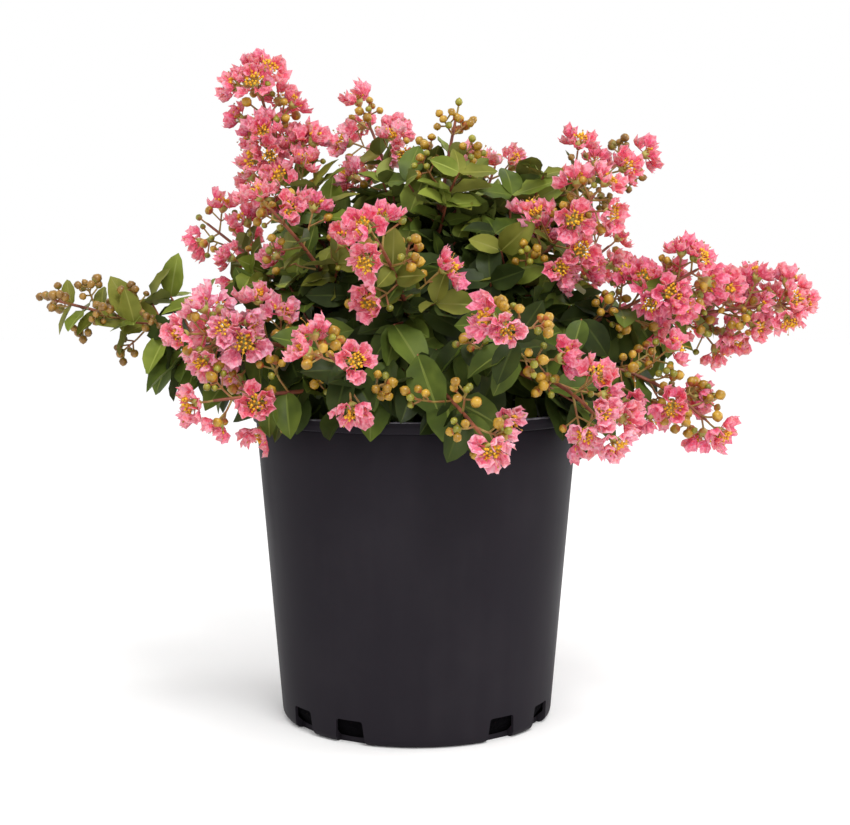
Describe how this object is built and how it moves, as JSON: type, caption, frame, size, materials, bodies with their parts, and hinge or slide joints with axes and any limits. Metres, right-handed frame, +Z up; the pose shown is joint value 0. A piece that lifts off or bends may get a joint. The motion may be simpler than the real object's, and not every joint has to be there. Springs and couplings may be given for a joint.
{
  "type": "potted crape myrtle shrub",
  "caption": "Young crape myrtle shrub with short boughs, leafy shoots and crinkled coral-pink blossom, standing in a tapered black nursery pot.",
  "frame": {"origin": "centre of the pot's flat underside", "axes": "+Z up, +X to the right and +Y to the back as seen in the picture"},
  "size_m": [0.5545, 0.4181, 0.4708],
  "materials": {
    "pot": "satin black moulded plastic",
    "growing_mix": "damp shredded bark",
    "bark": "reddish brown bark, lightly flaking",
    "foliage": "satin leaf",
    "blossom": "thin crinkled petal"
  },
  "bodies": {
    "root": {"bough_front": "bark", "bough_front_low": "bark", "bough_left": "bark", "bough_left_low": "bark", "bough_rear_left": "bark", "bough_rear_right": "bark", "bough_right": "bark", "bough_right_high": "bark", "bough_right_low": "bark", "bough_top_left": "bark", "bough_top_right": "bark", "foliage_centre_left": "foliage", "foliage_far_left": "foliage", "foliage_far_right": "foliage", "foliage_front_left": "foliage", "foliage_front_low": "foliage", "foliage_front_right": "foliage", "foliage_left_back": "foliage", "foliage_left_front": "foliage", "foliage_left_high": "foliage", "foliage_low_left": "foliage", "foliage_low_rear_left": "foliage", "foliage_low_rear_right": "foliage", "foliage_low_right": "foliage", "foliage_low_right_front": "foliage", "foliage_rear_left": "foliage", "foliage_rear_right": "foliage", "foliage_right_high": "foliage", "foliage_right_mid": "foliage", "foliage_right_top": "foliage", "foliage_top_centre": "foliage", "foliage_top_left": "foliage", "foliage_top_right": "foliage", "foliage_top_spike": "foliage", "growing_mix": "growing_mix", "panicle_centre_left": "blossom", "panicle_far_right": "blossom", "panicle_front_left": "blossom", "panicle_front_low": "blossom", "panicle_front_right": "blossom", "panicle_left_back": "blossom", "panicle_left_front": "blossom", "panicle_left_high": "blossom", "panicle_low_left": "blossom", "panicle_low_rear_left": "blossom", "panicle_low_rear_right": "blossom", "panicle_low_right": "blossom", "panicle_low_right_front": "blossom", "panicle_rear_left": "blossom", "panicle_rear_right": "blossom", "panicle_right_high": "blossom", "panicle_right_mid": "blossom", "panicle_right_top": "blossom", "panicle_top_centre": "blossom", "panicle_top_left": "blossom", "panicle_top_right": "blossom", "pot": "pot", "trunk": "bark"}
  },
  "joints": []
}
